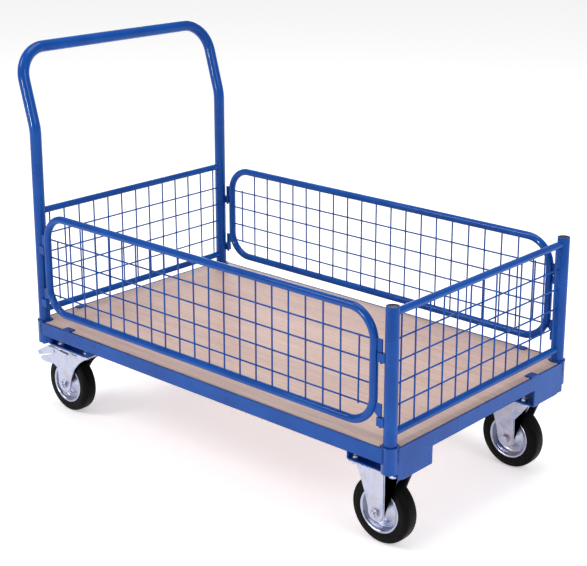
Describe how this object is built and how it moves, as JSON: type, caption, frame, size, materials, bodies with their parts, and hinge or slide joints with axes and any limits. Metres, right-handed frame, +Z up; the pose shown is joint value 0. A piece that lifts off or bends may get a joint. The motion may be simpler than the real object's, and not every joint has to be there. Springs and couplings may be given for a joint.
{
  "type": "flatbed platform truck",
  "caption": "Flatbed platform truck with a bent tube push handle, wire mesh end walls, lift-off mesh side panels, wood deck board, fixed front castors and braked swivel castors.",
  "frame": {"origin": "on the floor, under the middle of the truck's overall box", "axes": "+X to the front end (without the handle), +Y to the truck's left, +Z up"},
  "size_m": [1.279, 0.702, 1.004],
  "materials": {
    "blue_paint": "gloss powder coat",
    "zinc_steel": "bright zinc plated",
    "beech_board": "matt beech surface",
    "black_rubber": "solid rubber",
    "black_plastic": "moulded",
    "bright_steel": "ground steel"
  },
  "bodies": {
    "truck_frame": {"side_rail_left": "blue_paint", "side_rail_right": "blue_paint", "end_rail_front": "blue_paint", "end_rail_handle": "blue_paint", "cross_members": "blue_paint", "corner_socket_front_left": "blue_paint", "corner_socket_front_right": "blue_paint", "corner_socket_handle_left": "blue_paint", "corner_socket_handle_right": "blue_paint", "castor_bracket_front_left": "blue_paint", "castor_bracket_front_right": "blue_paint", "castor_bracket_handle_left": "blue_paint", "castor_bracket_handle_right": "blue_paint", "deck_board": "beech_board", "deck_clips": "blue_paint", "handle_tube": "blue_paint", "front_post_left": "blue_paint", "front_post_right": "blue_paint", "front_wall_rails": "blue_paint", "handle_wall_rails": "blue_paint", "front_wall_mesh": "blue_paint", "handle_wall_mesh": "blue_paint", "panel_catches": "blue_paint", "post_caps": "black_plastic", "set_screws": "zinc_steel", "castor_bolts": "zinc_steel", "castor_nuts": "zinc_steel", "fixed_fork_left": "zinc_steel", "front_axle_left": "zinc_steel", "swivel_plate_left": "zinc_steel", "fixed_fork_right": "zinc_steel", "front_axle_right": "zinc_steel", "swivel_plate_right": "zinc_steel"},
    "panel_left": {"panel_frame_left": "blue_paint", "panel_mesh_left": "blue_paint", "panel_hooks_left": "blue_paint"},
    "wheel_front_left": {"tyre_front_left": "black_rubber", "rim_front_left": "zinc_steel", "roller_bearing_front_left": "bright_steel"},
    "swivel_left": {"swivel_fork_left": "zinc_steel", "swivel_balls_left": "bright_steel", "rear_axle_left": "zinc_steel"},
    "wheel_rear_left": {"tyre_rear_left": "black_rubber", "rim_rear_left": "zinc_steel", "roller_bearing_rear_left": "bright_steel"},
    "brake_left": {"brake_pedal_left": "zinc_steel"},
    "panel_right": {"panel_frame_right": "blue_paint", "panel_mesh_right": "blue_paint", "panel_hooks_right": "blue_paint"},
    "wheel_front_right": {"tyre_front_right": "black_rubber", "rim_front_right": "zinc_steel", "roller_bearing_front_right": "bright_steel"},
    "swivel_right": {"swivel_fork_right": "zinc_steel", "swivel_balls_right": "bright_steel", "rear_axle_right": "zinc_steel"},
    "wheel_rear_right": {"tyre_rear_right": "black_rubber", "rim_rear_right": "zinc_steel", "roller_bearing_rear_right": "bright_steel"},
    "brake_right": {"brake_pedal_right": "zinc_steel"}
  },
  "joints": [
    {"name": "panel_left_lift", "type": "slide", "parent": "truck_frame", "child": "panel_left", "axis": [0, 0, 1], "range_m": [0, 0.08]},
    {"name": "wheel_front_left_spin", "type": "hinge", "parent": "truck_frame", "child": "wheel_front_left", "pos_m": [0.5495, 0.256, 0.08], "axis": [0, 1, 0], "continuous": true},
    {"name": "swivel_left_turn", "type": "hinge", "parent": "truck_frame", "child": "swivel_left", "pos_m": [-0.4725, 0.256, 0.18], "axis": [0, 0, 1], "continuous": true},
    {"name": "wheel_rear_left_spin", "type": "hinge", "parent": "swivel_left", "child": "wheel_rear_left", "pos_m": [-0.5315, 0.256, 0.08], "axis": [0, 1, 0], "continuous": true},
    {"name": "brake_left_press", "type": "hinge", "parent": "swivel_left", "child": "brake_left", "pos_m": [-0.5675, 0.256, 0.166], "axis": [0, -1, 0], "range_deg": [0, 9]},
    {"name": "panel_right_lift", "type": "slide", "parent": "truck_frame", "child": "panel_right", "axis": [0, 0, 1], "range_m": [0, 0.08]},
    {"name": "wheel_front_right_spin", "type": "hinge", "parent": "truck_frame", "child": "wheel_front_right", "pos_m": [0.5495, -0.256, 0.08], "axis": [0, 1, 0], "continuous": true},
    {"name": "swivel_right_turn", "type": "hinge", "parent": "truck_frame", "child": "swivel_right", "pos_m": [-0.4725, -0.256, 0.18], "axis": [0, 0, 1], "continuous": true},
    {"name": "wheel_rear_right_spin", "type": "hinge", "parent": "swivel_right", "child": "wheel_rear_right", "pos_m": [-0.5315, -0.256, 0.08], "axis": [0, 1, 0], "continuous": true},
    {"name": "brake_right_press", "type": "hinge", "parent": "swivel_right", "child": "brake_right", "pos_m": [-0.5675, -0.256, 0.166], "axis": [0, -1, 0], "range_deg": [0, 9]}
  ]
}
